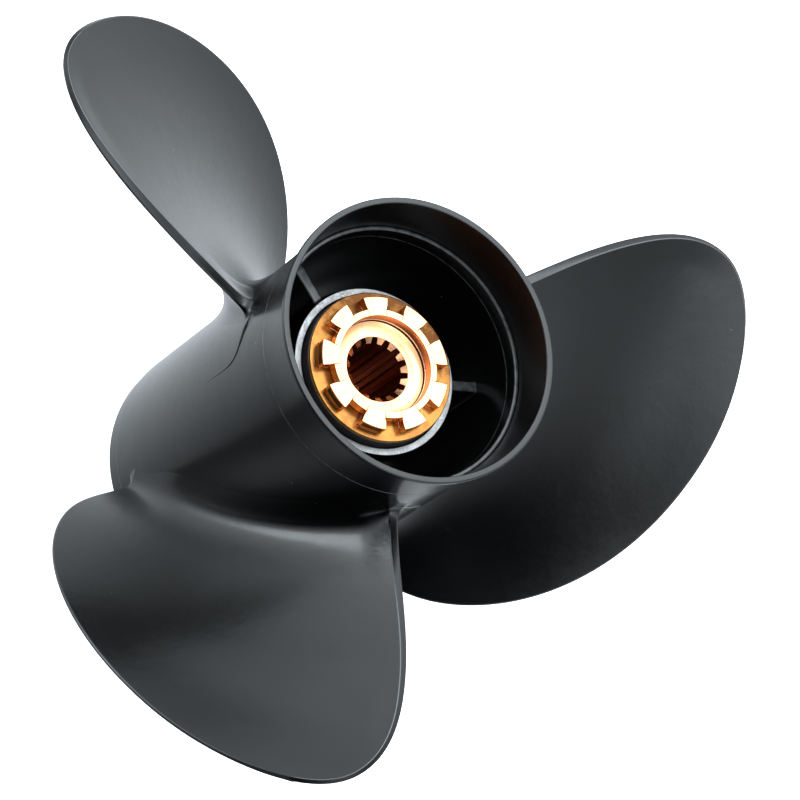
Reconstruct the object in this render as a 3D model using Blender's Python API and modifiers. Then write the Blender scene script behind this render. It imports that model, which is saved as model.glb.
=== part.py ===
"""Outboard-motor propeller: three blades on a barrel that the exhaust leaves through, and a splined hub kit.

Lengths are in metres. A height is measured along the shaft from the barrel's forward face, which the propeller
stands on, up to the flared aft rim. The frame's origin is on the shaft axis at the centre of mass, +Z points aft
and +X lies along the reference line of the first blade. Seen from aft, the propeller drives when it turns
clockwise, so each blade's leading edge lies at the smaller angle.
"""

import math

import bmesh
import bpy
import numpy as np

# Frame
CENTRE_OF_MASS = 0.0823
GAP = 0.0003
ROUND_STEPS = 72

# Barrel: the outer tube of the casting
BARREL_RADIUS = 0.0533
BARREL_AFT_RADIUS = 0.0538
BARREL_SWELL_HEIGHT = 0.1100
BARREL_BORE = 0.0485
BARREL_LENGTH = 0.1473
FRONT_BAND_RADIUS = 0.0526
FRONT_BAND_HEIGHT = 0.0078
EDGE_CHAMFER = 0.0008
SPIGOT_RADIUS = 0.0520
LEDGE_RADIUS = 0.0507
LEDGE_HEIGHT = 0.1530
BORE_FLARE_HEIGHT = 0.1253

# Diffuser: the flared ring on the barrel's spigot
RIM_HEIGHT = 0.1720
RIM_RADIUS = 0.0570
RIM_INNER_RADIUS = 0.0544
FLARE_START_RADIUS = 0.0539
FLARE_BEAD_RADIUS = 0.0555
FLARE_BEAD_HEIGHT = 0.1687

# Inner hub and the ribs that carry it
HUB_FACE_HEIGHT = 0.1333
HUB_FACE_RADIUS = 0.0336
HUB_BORE = 0.0310
HUB_RADIUS = 0.0348
HUB_CHAMFER_HEIGHT = 0.0040
HUB_FRONT_HEIGHT = 0.0140
RIB_THICKNESS = 0.0042
RIB_FRONT_HEIGHT = 0.0220
RIB_AFT_HEIGHT = 0.1253
RIB_EDGE_ROUND = 0.0008
RIB_ANGLE = math.radians(-4.3)

# Hub kit
RUBBER_RADIUS = 0.0304
RUBBER_FRONT = 0.0200
RUBBER_AFT = 0.1370
SLEEVE_RADIUS = 0.0190
SLEEVE_FRONT = 0.0200
SLEEVE_AFT = 0.1369
RECESS_RADIUS = 0.0193
SPLINE_TEETH = 15
SPLINE_MAJOR = 0.01305
SPLINE_MINOR = 0.0110
SPLINE_PHASE = math.radians(-83.4)
WASHER_RADIUS = 0.0294
WASHER_AFT = 0.1388
LUGS = 9
LUG_TOP = 0.1431
LUG_RADIUS = 0.0269
LUG_ROOT_RADIUS = 0.0221
LUG_SLOT_WIDTH = 0.0080
SLOT_PHASE = math.radians(-90.0)

# Blades: pitch and swell are given along the radius, the outline as radius and angle round the shaft
BLADES = 3
RAKE = math.radians(19.2)
RAKE_FOOT_HEIGHT = 0.0857
PITCH_LINE = ((0.0533, 0.499), (0.1140, 0.509), (0.1710, 0.476))
BLADE_OUTLINE = (
    (0.0541, -48.2),
    (0.0700, -47.5),
    (0.0889, -45.5),
    (0.1168, -37.3),
    (0.1414, -24.6),
    (0.1570, -12.9),
    (0.1682, -0.9),
    (0.1666, 15.7),
    (0.1644, 16.7),
    (0.1273, 23.8),
    (0.0895, 27.1),
    (0.0690, 29.3),
    (0.0546, 32.0),
)
NOSE_RADIUS = 0.0011
TAIL_THICKNESS = 0.0019
TAIL_BEVEL = 0.0016
SWELL_LINE = ((0.0533, 0.0060), (0.1140, 0.0034), (0.1720, 0.0010))
ROOT_FILLET = 0.0140
NOSE_FILLET = 0.0025
TAIL_FILLET = 0.0045
FILLET_BLEND = 0.0300
BLADE_START = 0.0515
TIP_CUT = 0.0001
CHORD_STEPS = 16

BLACK_PAINT = ((0.030, 0.033, 0.035), 0.38, 0.0)
MACHINED_ALUMINIUM = ((0.45, 0.46, 0.47), 0.45, 1.0)
BLACK_RUBBER = ((0.018, 0.017, 0.016), 0.75, 0.0)
DULL_BRASS = ((0.52, 0.31, 0.12), 0.42, 1.0)
BRIGHT_BRASS = ((0.86, 0.68, 0.42), 0.30, 1.0)


def clear_scene():
    for obj in list(bpy.data.objects):
        bpy.data.objects.remove(obj, do_unlink=True)


def make_collection(name):
    collection = bpy.data.collections.new(name)
    bpy.context.scene.collection.children.link(collection)
    return collection


def make_material(name, finish):
    colour, roughness, metallic = finish
    material = bpy.data.materials.new(name)
    material.use_nodes = True
    shader = material.node_tree.nodes["Principled BSDF"]
    shader.inputs["Base Color"].default_value = (*colour, 1.0)
    shader.inputs["Roughness"].default_value = roughness
    shader.inputs["Metallic"].default_value = metallic
    return material


def add_part(name, data, finish, collection):
    """Links a mesh or curve as a named part, with its own material."""
    part = bpy.data.objects.new(name, data)
    part.data.materials.append(make_material(name + "_finish", finish))
    collection.objects.link(part)
    return part


def level(height):
    """Turns a height above the forward face into the frame's Z."""
    return height - CENTRE_OF_MASS


def turned_part(name, profile, finish, collection):
    """Turns a closed profile of (radius, height) round the shaft. It runs down its outer side first."""
    mesh = bpy.data.meshes.new(name)
    corners = [(radius, 0.0, level(height)) for radius, height in profile]
    count = len(corners)
    mesh.from_pydata(corners, [(i, (i + 1) % count) for i in range(count)], [])
    part = add_part(name, mesh, finish, collection)
    screw = part.modifiers.new("Turn", "SCREW")
    screw.axis = "Z"
    screw.angle = math.tau
    screw.steps = ROUND_STEPS
    screw.render_steps = ROUND_STEPS
    screw.use_merge_vertices = True
    screw.merge_threshold = 0.00001
    screw.use_smooth_shade = True
    return part


def arc(radius, start, end, steps):
    """Points on an arc round the shaft, both ends included."""
    angles = np.linspace(start, end, steps + 1)
    return [(radius * math.cos(a), radius * math.sin(a)) for a in angles]


def circle(radius):
    return arc(radius, 0.0, math.tau, ROUND_STEPS)[:-1]


def extruded_part(name, outlines, bottom, top, finish, collection):
    """Extrudes flat closed outlines between two heights; an outline inside another is a hole."""
    curve = bpy.data.curves.new(name, "CURVE")
    curve.dimensions = "2D"
    curve.fill_mode = "BOTH"
    curve.extrude = (top - bottom) / 2
    for outline in outlines:
        spline = curve.splines.new("POLY")
        spline.points.add(len(outline) - 1)
        for point, (x, y) in zip(spline.points, outline):
            point.co = (x, y, 0.0, 1.0)
        spline.use_cyclic_u = True
    part = add_part(name, curve, finish, collection)
    part.location.z = level((top + bottom) / 2)
    return part


def hub_barrel(collection):
    profile = [
        (SPIGOT_RADIUS, LEDGE_HEIGHT),
        (SPIGOT_RADIUS, BARREL_LENGTH),
        (BARREL_AFT_RADIUS, BARREL_LENGTH),
        (BARREL_RADIUS, BARREL_SWELL_HEIGHT),
        (BARREL_RADIUS, FRONT_BAND_HEIGHT),
        (FRONT_BAND_RADIUS, FRONT_BAND_HEIGHT),
        (FRONT_BAND_RADIUS, EDGE_CHAMFER),
        (FRONT_BAND_RADIUS - EDGE_CHAMFER, 0.0),
        (BARREL_BORE + EDGE_CHAMFER, 0.0),
        (BARREL_BORE, EDGE_CHAMFER),
        (BARREL_BORE, BORE_FLARE_HEIGHT),
        (LEDGE_RADIUS, LEDGE_HEIGHT),
    ]
    return turned_part("hub_barrel", profile, BLACK_PAINT, collection)


def flare_radius(height):
    """Outside of the diffuser: a trumpet curve that steepens towards the bead."""
    share = (height - BARREL_LENGTH) / (FLARE_BEAD_HEIGHT - BARREL_LENGTH)
    return FLARE_START_RADIUS + (FLARE_BEAD_RADIUS - FLARE_START_RADIUS) * share**1.6


def diffuser_ring(collection):
    flare = [(flare_radius(h), h) for h in np.linspace(FLARE_BEAD_HEIGHT, BARREL_LENGTH + GAP, 5)]
    profile = [
        (RIM_RADIUS - EDGE_CHAMFER / 2, RIM_HEIGHT),
        (RIM_RADIUS, RIM_HEIGHT - EDGE_CHAMFER),
        (RIM_RADIUS - EDGE_CHAMFER / 2, RIM_HEIGHT - 2 * EDGE_CHAMFER),
        *flare,
        (SPIGOT_RADIUS + GAP, BARREL_LENGTH + GAP),
        (SPIGOT_RADIUS + GAP, LEDGE_HEIGHT),
        (RIM_INNER_RADIUS, RIM_HEIGHT),
    ]
    return turned_part("diffuser_ring", profile, BLACK_PAINT, collection)


def inner_hub(collection):
    profile = [
        (HUB_FACE_RADIUS, HUB_FACE_HEIGHT),
        (HUB_RADIUS, HUB_FACE_HEIGHT - HUB_CHAMFER_HEIGHT),
        (HUB_RADIUS, HUB_FRONT_HEIGHT),
        (HUB_BORE, HUB_FRONT_HEIGHT),
        (HUB_BORE, HUB_FACE_HEIGHT),
    ]
    return turned_part("inner_hub", profile, MACHINED_ALUMINIUM, collection)


def ribs(collection):
    """The webs: flat plates from the inner hub's wall to the barrel's bore, with a rounded aft edge."""
    inner = HUB_RADIUS + GAP
    outer = BARREL_BORE - 2 * GAP
    for number in range(BLADES):
        mesh = bpy.data.meshes.new("rib")
        shape = bmesh.new()
        bmesh.ops.create_cube(shape, size=1.0)
        size = (outer - inner, RIB_THICKNESS, RIB_AFT_HEIGHT - RIB_FRONT_HEIGHT)
        middle = ((inner + outer) / 2, 0.0, level((RIB_AFT_HEIGHT + RIB_FRONT_HEIGHT) / 2))
        bmesh.ops.scale(shape, vec=size, verts=shape.verts)
        bmesh.ops.translate(shape, vec=middle, verts=shape.verts)
        aft_edges = [e for e in shape.edges if is_aft_side(e)]
        bmesh.ops.bevel(shape, geom=aft_edges, offset=RIB_EDGE_ROUND, segments=3, profile=0.5, affect="EDGES")
        shape.to_mesh(mesh)
        shape.free()
        rib = add_part(f"rib_{number + 1}", mesh, BLACK_PAINT, collection)
        rib.rotation_euler.z = RIB_ANGLE + number * math.tau / BLADES


def is_aft_side(edge):
    """True for a rib's two long aft edges, which run outwards along X."""
    first, second = (vert.co for vert in edge.verts)
    return abs(first.x - second.x) > RIB_THICKNESS and min(first.z, second.z) > 0.0


def rubber_bushing(collection):
    profile = [
        (RUBBER_RADIUS, RUBBER_AFT),
        (RUBBER_RADIUS, RUBBER_FRONT),
        (RECESS_RADIUS, RUBBER_FRONT),
        (RECESS_RADIUS, RUBBER_AFT),
    ]
    return turned_part("rubber_bushing", profile, BLACK_RUBBER, collection)


def splined_sleeve(collection):
    """Brass sleeve with a splined bore: each tooth space narrows from the minor to the major radius."""
    pitch = math.tau / SPLINE_TEETH
    bore = []
    for tooth in range(SPLINE_TEETH):
        space = SPLINE_PHASE + tooth * pitch
        bore += arc(SPLINE_MAJOR, space - 0.17 * pitch, space + 0.17 * pitch, 1)
        bore += arc(SPLINE_MINOR, space + 0.30 * pitch, space + 0.70 * pitch, 1)
    outlines = [circle(SLEEVE_RADIUS), bore]
    return extruded_part("splined_sleeve", outlines, SLEEVE_FRONT, SLEEVE_AFT, BRIGHT_BRASS, collection)


def flange_washer(collection):
    profile = [
        (WASHER_RADIUS, WASHER_AFT),
        (WASHER_RADIUS, RUBBER_AFT + GAP),
        (RECESS_RADIUS, RUBBER_AFT + GAP),
        (RECESS_RADIUS, WASHER_AFT),
    ]
    return turned_part("flange_washer", profile, DULL_BRASS, collection)


def castellated_ring(collection):
    """Ring with lugs standing out of it and parallel-sided slots between them."""
    pitch = math.tau / LUGS
    root_half = math.asin(LUG_SLOT_WIDTH / 2 / LUG_ROOT_RADIUS)
    tip_half = math.asin(LUG_SLOT_WIDTH / 2 / LUG_RADIUS)
    outline = []
    for lug in range(LUGS):
        slot = SLOT_PHASE + lug * pitch
        outline += arc(LUG_ROOT_RADIUS, slot - root_half, slot + root_half, 2)
        outline += arc(LUG_RADIUS, slot + tip_half, slot + pitch - tip_half, 4)
    outlines = [outline, circle(RECESS_RADIUS)]
    return extruded_part("castellated_ring", outlines, WASHER_AFT + GAP, LUG_TOP, BRIGHT_BRASS, collection)


def along(line, radius):
    """Value at this radius of the polynomial through the points of a line."""
    radii, values = zip(*line)
    return float(np.polyval(np.polyfit(radii, values, len(line) - 1), radius))


def spline_through(points, count):
    """A natural cubic spline through flat points, spaced by their distances."""
    points = np.array(points)
    gaps = np.hypot(*np.diff(points, axis=0).T)
    knots = np.concatenate([[0.0], np.cumsum(gaps)])
    size = len(points)
    system = np.eye(size)
    pull = np.zeros((size, 2))
    for i in range(1, size - 1):
        system[i, i - 1 : i + 2] = gaps[i - 1], 2 * (gaps[i - 1] + gaps[i]), gaps[i]
        pull[i] = 6 * ((points[i + 1] - points[i]) / gaps[i] - (points[i] - points[i - 1]) / gaps[i - 1])
    bend = np.linalg.solve(system, pull)
    curve = []
    for t in np.linspace(0.0, knots[-1], count):
        i = min(int(np.searchsorted(knots, t, side="right")) - 1, size - 2)
        after = (t - knots[i]) / gaps[i]
        before = 1.0 - after
        sag = ((before**3 - before) * bend[i] + (after**3 - after) * bend[i + 1]) * gaps[i] ** 2 / 6
        curve.append(before * points[i] + after * points[i + 1] + sag)
    return np.array(curve)


def blade_edges():
    """Radii and angles along the leading edge and the trailing edge, root to tip."""
    corners = [(r * math.cos(math.radians(a)), r * math.sin(math.radians(a))) for r, a in BLADE_OUTLINE]
    curve = spline_through(corners, 600)
    radius = np.hypot(curve[:, 0], curve[:, 1])
    angle = np.arctan2(curve[:, 1], curve[:, 0])
    tip = int(radius.argmax())
    leading = (radius[: tip + 1], angle[: tip + 1])
    trailing = (radius[tip:][::-1], angle[tip:][::-1])
    return leading, trailing


def fillet_width(rise, size):
    """How far a face swells sideways where it runs into the barrel, as a quarter circle of this size."""
    left = min(max(size - rise, 0.0), size)
    return size - math.sqrt(size**2 - left**2)


def fillet_size(distance, end_size):
    """The fillet grows from its size at one end of the root to the full one in the middle of the chord."""
    share = min(distance / FILLET_BLEND, 1.0)
    return end_size + (ROOT_FILLET - end_size) * share * share * (3 - 2 * share)


def blade_point(radius, angle, aft, along_chord):
    """A point off the blade's helix: aft of it at right angles, and along its chord towards the trailing edge."""
    climb = along(PITCH_LINE, radius) / math.tau
    slant = math.hypot(radius, climb)
    turn = angle + (along_chord * radius - aft * climb) / slant / radius
    rake_height = RAKE_FOOT_HEIGHT + (radius - BARREL_RADIUS) * math.tan(RAKE)
    height = rake_height + climb * angle + (along_chord * climb + aft * radius) / slant
    return radius * math.cos(turn), radius * math.sin(turn), level(height)


def blade_section(radius, leading, trailing):
    """One closed loop round the blade at this radius: the nose, the aft face, the bevelled tail, the forward face."""
    start = float(np.interp(radius, *leading))
    end = float(np.interp(radius, *trailing))
    chord = math.hypot(radius, along(PITCH_LINE, radius) / math.tau) * (end - start)
    swell = along(SWELL_LINE, radius)
    rise = max(radius - BARREL_RADIUS, 0.0)
    nose_spread = fillet_width(rise, NOSE_FILLET)
    tail_spread = fillet_width(rise, TAIL_FILLET)
    aft_face = []
    forward_face = []
    for step in range(CHORD_STEPS + 1):
        share = step / CHORD_STEPS
        angle = start + (end - start) * share
        size = min(fillet_size(share * chord, NOSE_FILLET), fillet_size((1 - share) * chord, TAIL_FILLET))
        fillet = fillet_width(rise, size)
        spread = tail_spread * share - nose_spread * (1 - share)
        aft = NOSE_RADIUS * (1 - share) + TAIL_THICKNESS * share
        forward = NOSE_RADIUS * (1 - share) + swell * math.sin(math.pi * share)
        nose_shift = NOSE_RADIUS * (1 - share)
        aft_face.append(blade_point(radius, angle, aft + fillet, spread + nose_shift - TAIL_BEVEL * share))
        forward_face.append(blade_point(radius, angle, -forward - fillet, spread + nose_shift))
    nose = blade_point(radius, start, 0.0, -nose_spread)
    return [nose, *aft_face, *reversed(forward_face)]


def blade_radii(tip):
    """Section radii: close together in the fillet and towards the tip."""
    fillet_rows = [BARREL_RADIUS + ROOT_FILLET * share for share in (0.03, 0.09, 0.18, 0.34, 0.6, 1.0)]
    last = fillet_rows[-1]
    outer_rows = [last + (tip - TIP_CUT - last) * math.sin(math.pi / 2 * step / 13) for step in range(1, 14)]
    return [BLADE_START, *fillet_rows, *outer_rows]


def blade_mesh():
    """A loft through the sections, closed at the root and the tip."""
    leading, trailing = blade_edges()
    shape = bmesh.new()
    rows = []
    for radius in blade_radii(leading[0][-1]):
        section = blade_section(radius, leading, trailing)
        rows.append([shape.verts.new(point) for point in section])
    for inner, outer in zip(rows, rows[1:]):
        for i in range(len(inner)):
            j = (i + 1) % len(inner)
            shape.faces.new((inner[i], inner[j], outer[j], outer[i]))
    shape.faces.new(rows[0])
    shape.faces.new(rows[-1])
    bmesh.ops.triangulate(shape, faces=shape.faces)
    bmesh.ops.recalc_face_normals(shape, faces=shape.faces)
    mesh = bpy.data.meshes.new("blade")
    shape.to_mesh(mesh)
    shape.free()
    mesh.shade_smooth()
    mesh.set_sharp_from_angle(angle=math.radians(40.0))
    return mesh


def barrel_cutter(collection):
    """The barrel's outside with the gap round it, which trims the blades' roots."""
    profile = [
        (BARREL_AFT_RADIUS + GAP, BARREL_LENGTH),
        (BARREL_RADIUS + GAP, BARREL_SWELL_HEIGHT),
        (BARREL_RADIUS + GAP, 0.0),
        (HUB_BORE, 0.0),
        (HUB_BORE, BARREL_LENGTH),
    ]
    cutter = turned_part("barrel_cutter", profile, BLACK_PAINT, collection)
    cutter.hide_render = True
    cutter.display_type = "WIRE"
    return cutter


def blades(collection, cutter):
    mesh = blade_mesh()
    for number in range(BLADES):
        blade = add_part(f"blade_{number + 1}", mesh.copy(), BLACK_PAINT, collection)
        blade.rotation_euler.z = number * math.tau / BLADES
        trim = blade.modifiers.new("Trim root", "BOOLEAN")
        trim.operation = "DIFFERENCE"
        trim.solver = "EXACT"
        trim.object = cutter


def main():
    clear_scene()
    parts = make_collection("propeller")
    cutters = make_collection("cutters")
    hub_barrel(parts)
    diffuser_ring(parts)
    inner_hub(parts)
    ribs(parts)
    blades(parts, barrel_cutter(cutters))
    rubber_bushing(parts)
    splined_sleeve(parts)
    flange_washer(parts)
    castellated_ring(parts)


main()
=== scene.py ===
"""Looks of an outboard-motor propeller: a black-painted casting round a brass and rubber hub kit.

Lengths are in metres. A height is measured along the shaft from the barrel's forward face, which stands on
the floor, up to the flared aft rim. The shaft is the Z axis, +Z points aft, and the first blade's reference
line is the X axis. Seen from aft, a blade's leading edge lies at the smaller angle.
"""

import math

import bmesh
import bpy
import numpy as np
from mathutils import Matrix, Vector


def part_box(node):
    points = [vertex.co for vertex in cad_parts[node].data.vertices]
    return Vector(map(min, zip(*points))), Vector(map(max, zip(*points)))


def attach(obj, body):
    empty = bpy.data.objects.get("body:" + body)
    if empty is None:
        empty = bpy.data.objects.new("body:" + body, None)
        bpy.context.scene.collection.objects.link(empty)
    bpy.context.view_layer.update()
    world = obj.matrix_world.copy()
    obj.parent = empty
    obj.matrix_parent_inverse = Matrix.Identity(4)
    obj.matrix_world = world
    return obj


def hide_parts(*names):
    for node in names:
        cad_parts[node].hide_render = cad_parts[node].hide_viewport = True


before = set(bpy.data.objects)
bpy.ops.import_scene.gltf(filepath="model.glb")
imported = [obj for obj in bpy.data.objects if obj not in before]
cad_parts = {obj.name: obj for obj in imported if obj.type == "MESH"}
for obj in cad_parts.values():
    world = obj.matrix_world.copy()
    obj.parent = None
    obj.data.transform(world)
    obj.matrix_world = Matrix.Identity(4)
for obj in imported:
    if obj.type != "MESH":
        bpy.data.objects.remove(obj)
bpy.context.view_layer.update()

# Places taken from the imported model
FLOOR_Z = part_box("hub_barrel")[0].z
RIM_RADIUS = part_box("diffuser_ring")[1].x
RUBBER_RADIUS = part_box("rubber_bushing")[1].x


def ends(node):
    """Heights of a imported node's forward and aft ends."""
    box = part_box(node)
    return box[0].z - FLOOR_Z, box[1].z - FLOOR_Z


RIM_HEIGHT = ends("diffuser_ring")[1]
WASHER_AFT = ends("flange_washer")[1]
LUG_TOP = ends("castellated_ring")[1]
SLEEVE_FRONT, SLEEVE_AFT = ends("splined_sleeve")
RUBBER_FRONT, RUBBER_AFT = ends("rubber_bushing")
HUB_FRONT, HUB_AFT = ends("inner_hub")
RIB_FRONT, RIB_AFT = ends("rib_1")

# Barrel
BARREL_RADIUS = 0.0533
BARREL_AFT_RADIUS = 0.0538
BARREL_SWELL_HEIGHT = 0.1100
BARREL_SWELL_POWER = 1.5
BARREL_BORE = 0.0485
BARREL_LENGTH = 0.1473
FRONT_BAND_RADIUS = 0.0526
FRONT_BAND_HEIGHT = 0.0078
FRONT_BAND_STEP = 0.0012
SPIGOT_RADIUS = 0.0520
LEDGE_RADIUS = 0.0505
LEDGE_HEIGHT = 0.1532
BORE_FLARE_HEIGHT = 0.1253
JOINT_GAP = 0.0001

# Diffuser
RIM_INNER_RADIUS = 0.0544
FLARE_START_RADIUS = 0.0539
FLARE_BEAD_RADIUS = 0.0555
FLARE_BEAD_HEIGHT = 0.1687
FLARE_POWER = 1.6
RIM_LIP = 0.0024

# Inner hub and ribs
HUB_FACE_RADIUS = 0.0336
HUB_BORE = 0.0310
WASHER_RADIUS = HUB_BORE - 0.0009
HUB_RADIUS = 0.0348
HUB_CHAMFER_HEIGHT = 0.0040
HUB_FACE_DEPTH = 0.0004
RIB_THICKNESS = 0.0042
RIB_ANGLE = math.radians(-4.3)
RIB_FILLET = 0.0022
RIB_ROUND = 0.0008
RIB_STATIONS = 41
RIB_ROUND_STEPS = 8
WALL_OVERLAP = 0.0002

# Hub kit
RECESS_RADIUS = 0.0193
SLEEVE_RADIUS = RECESS_RADIUS - 0.00015
SPLINE_TEETH = 15
SPLINE_MAJOR = 0.01305
SPLINE_MINOR = 0.0109
SPLINE_PHASE = math.radians(-83.4)
# Of the pitch: from the middle of a tooth space to its corner, and to the edge of the tooth's top
SPLINE_SPACE = 0.17
SPLINE_TOOTH = 0.30
SPLINE_LEAD_IN = 0.0017
LEAD_IN_RADIUS = SPLINE_MAJOR + 0.0002
LEAD_IN_STEPS = 17
TOOTH_STEPS = 32
SLEEVE_DISH = 0.0009
SLEEVE_DISH_RADIUS = 0.0152
SLEEVE_DISH_STEPS = 18
SLEEVE_EDGE = 0.00008
# How far a face of the sleeve may turn aft and still belong to the bore
BORE_FACING = 0.3
LUGS = 9
LUG_RADIUS = 0.0269
LUG_ROOT_RADIUS = 0.0221
LUG_SLOT_WIDTH = 0.0080
LUG_BORDER = 0.0006
LUG_ROUND = 0.00022
SLOT_PHASE = math.radians(-90.0)
# Steps of the outline over a slot and over a lug, and which of both together get the painted shade
SLOT_STEPS = 12
LUG_STEPS = 20
LUG_PITCH_STEPS = SLOT_STEPS + LUG_STEPS + 2
SHADED_STEPS = range(SLOT_STEPS + 3, LUG_PITCH_STEPS - 3)

# Blades
BLADES = 3
RAKE = math.radians(19.2)
RAKE_FOOT_HEIGHT = 0.0857
PITCH_LINE = ((0.0533, 0.499), (0.1140, 0.509), (0.1710, 0.476))
BLADE_OUTLINE = (
    (0.0541, -48.2),
    (0.0700, -47.5),
    (0.0889, -45.5),
    (0.1168, -37.3),
    (0.1414, -24.6),
    (0.1570, -12.9),
    (0.1682, -0.9),
    (0.1666, 15.7),
    (0.1644, 16.7),
    (0.1273, 23.8),
    (0.0895, 27.1),
    (0.0690, 29.3),
    (0.0546, 32.0),
)
NOSE_RADIUS = 0.0008
TAIL_THICKNESS = 0.0019
TAIL_BEVEL = 0.0016
TAIL_ROUND = 0.0008
TAIL_ENDS_AT = -2.0
TAIL_FADE = 12.0
TAIL_THINS = ((0.080, 1.0), (0.130, 0.85), (0.168, 0.5))
SWELL_LINE = ((0.0533, 0.0060), (0.1140, 0.0034), (0.1720, 0.0010))
CUP_DEPTH = 0.0007
CUP_WIDTH = 0.0120
CUP_EASE = 0.0350
CUP_START = 0.1150
CUP_GROWTH = 0.0350
ROOT_FILLET = 0.0150
FORWARD_FILLET = 0.0090
LEAD_FILLET = 0.0070
NOSE_FILLET = 0.0014
TAIL_FILLET = 0.0055
FILLET_BLEND = 0.0380
TAIL_BLEND = 0.0150
# Radius from which the painted edge highlights start, and over how far they fade in
EDGE_HIGHLIGHT_FROM = 0.0580
EDGE_HIGHLIGHT_FADE = 0.0080
# Radii between which the sections turn from the barrel's cylinder to lines square to the edge
FREE_FROM = 0.0620
FREE_AT = 0.0800
# Radii between which the ends of the upper sections fan out along the middle of the blade
FAN_START = 0.1200
FAN_END = 0.1500
# Radii of the lowest points over the barrel's, close together where the fillet starts
ROOT_ROWS = (-0.0008, 0.0, 0.00002, 0.0001, 0.00025, 0.0005, 0.0008, 0.0012, 0.0017, 0.0023, 0.003)
ROOT_ROWS += (0.0038, 0.0047, 0.0057, 0.0068, 0.008, 0.0094, 0.011, 0.0128, 0.0146, 0.0165)
MIDDLE_ROWS = 40
TIP_ROWS = 40
TIP_STEP = 1.5e-5
EDGE_POINTS = 16
FACE_POINTS = 30
FACE_CROWDING = 1.7
FACE_START = 0.4
FILLET_EASE = 0.42
FILLET_FOOT = 0.09
SEAT_FADE = 0.0120
EDGE_SAMPLES = 6000
SLOPE_SAMPLES = 40
EDGE_STRIDE = 6

# Parting ridge that runs on from the foot of each trailing edge: angle in degrees, height
RIDGE_PATH = (
    (33.5, 0.1322),
    (36.0, 0.1303),
    (40.0, 0.1272),
    (44.0, 0.1254),
    (48.0, 0.1228),
    (50.5, 0.1187),
    (51.5, 0.1100),
    (51.3, 0.0980),
    (51.5, 0.0880),
)
# Along the path from 0 to 1: share, half width of the flat top, rise over the barrel
RIDGE_SIZES = (
    (0.00, 0.00115, 0.0009),
    (0.20, 0.00085, 0.0006),
    (0.27, 0.00050, 0.0004),
    (0.50, 0.00040, 0.0003),
    (1.00, 0.00030, 0.0),
)
RIDGE_POINTS = 120
# Of the half width: how far a ridge's points reach, and the width over which its sides slope
RIDGE_SPREAD = 1.4
RIDGE_SLOPE = 0.5
RIDGE_SPREAD_POINTS = 23
RIDGE_SINK = 0.00006
RIDGE_ROOT_RADIUS = BARREL_RADIUS - 0.0015

# Meshes
ROUND_STEPS = 288
CURVE_STEPS = 9
CORNER_STEPS = 5
# Share of a side that a round may take, and half the angle from which on a corner counts as straight
LONGEST_CORNER = 0.49
STRAIGHT = 1.5
SHARP_ANGLE = math.radians(40.0)
BORE_SHARP_ANGLE = math.radians(28.0)
WELD = 2e-7

# Camera: the view of the photograph, given by the rim's centre and the line of sight
LENS = 219.3
VIEW_TILT = math.radians(33.174)
VIEW_ROLL = math.radians(55.425)
VIEW_DISTANCE = 1.8343
SENSOR_WIDTH = 36.0
RIM_CENTRE_RIGHT = 0.00758
RIM_CENTRE_UP = 0.02298

# The studio as seen from the hub: a white sweep that darkens towards the camera's lower left, and soft glows.
# Each glow or shade: azimuth and elevation in degrees, how wide it spreads in degrees, how much it adds
SWEEP_LEVEL = 2.45
SWEEP_TINT = (0.92, 1.0, 1.055)
GLOWS = {
    "dark side": (135.0, -1.0, 65.0, -4.1),
    "left glow": (26.0, 11.0, 15.0, 2.6),
    "right glow": (279.0, 54.0, 17.0, 2.4),
    "front glow": (162.0, 67.0, 13.0, 3.3),
    "low fill": (153.0, -2.0, 28.0, 3.6),
    "top shade": (320.0, 1.0, 15.0, -1.15),
    "left top glow": (0.0, 30.0, 18.0, 0.8),
    "back glow": (238.0, -40.0, 14.0, 1.3),
}
# Softboxes inside the strongest glows: azimuth, elevation, width, height, power
SOFTBOX_DISTANCE = 1.5
SOFTBOXES = {
    "left softbox": (28.0, 10.0, 0.6, 0.42, 3.8),
    "right softbox": (276.0, 55.0, 0.9, 0.9, 2.2),
    "top softbox": (305.0, 68.0, 0.5, 0.5, 4.0),
    "front softbox": (88.0, 64.0, 0.35, 0.35, 1.8),
}
BACKDROP_RADIUS = 12.0
CLIP_START = 0.1
CLIP_END = 50.0


def at(height):
    """Turns a height above the forward face into the frame's Z."""
    return height + FLOOR_Z


def make_piece(name, mesh, replaced):
    """Links a mesh as a piece that rides on the propeller, in place of a CAD node where one is named."""
    piece = bpy.data.objects.new(name, mesh)
    bpy.context.scene.collection.objects.link(piece)
    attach(piece, "root")
    if replaced:
        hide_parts(replaced)
    return piece


def rounded(corners):
    """A closed outline with each corner (x, y, radius) rounded by an arc of that radius."""
    outline = []
    count = len(corners)
    for i, (x, y, radius) in enumerate(corners):
        corner = np.array((x, y))
        before = np.array(corners[i - 1][:2]) - corner
        after = np.array(corners[(i + 1) % count][:2]) - corner
        before_length = np.linalg.norm(before)
        after_length = np.linalg.norm(after)
        before /= before_length
        after /= after_length
        half = math.acos(float(np.clip(before @ after, -1.0, 1.0))) / 2
        if radius == 0.0 or half >= STRAIGHT:
            outline.append(tuple(corner))
            continue
        reach = min(radius / math.tan(half), LONGEST_CORNER * before_length, LONGEST_CORNER * after_length)
        for step in range(CORNER_STEPS + 1):
            share = step / CORNER_STEPS
            start = corner + before * reach * (1 - share)
            end = corner + after * reach * share
            outline.append(tuple(start * (1 - share) + end * share))
    return outline


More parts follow.
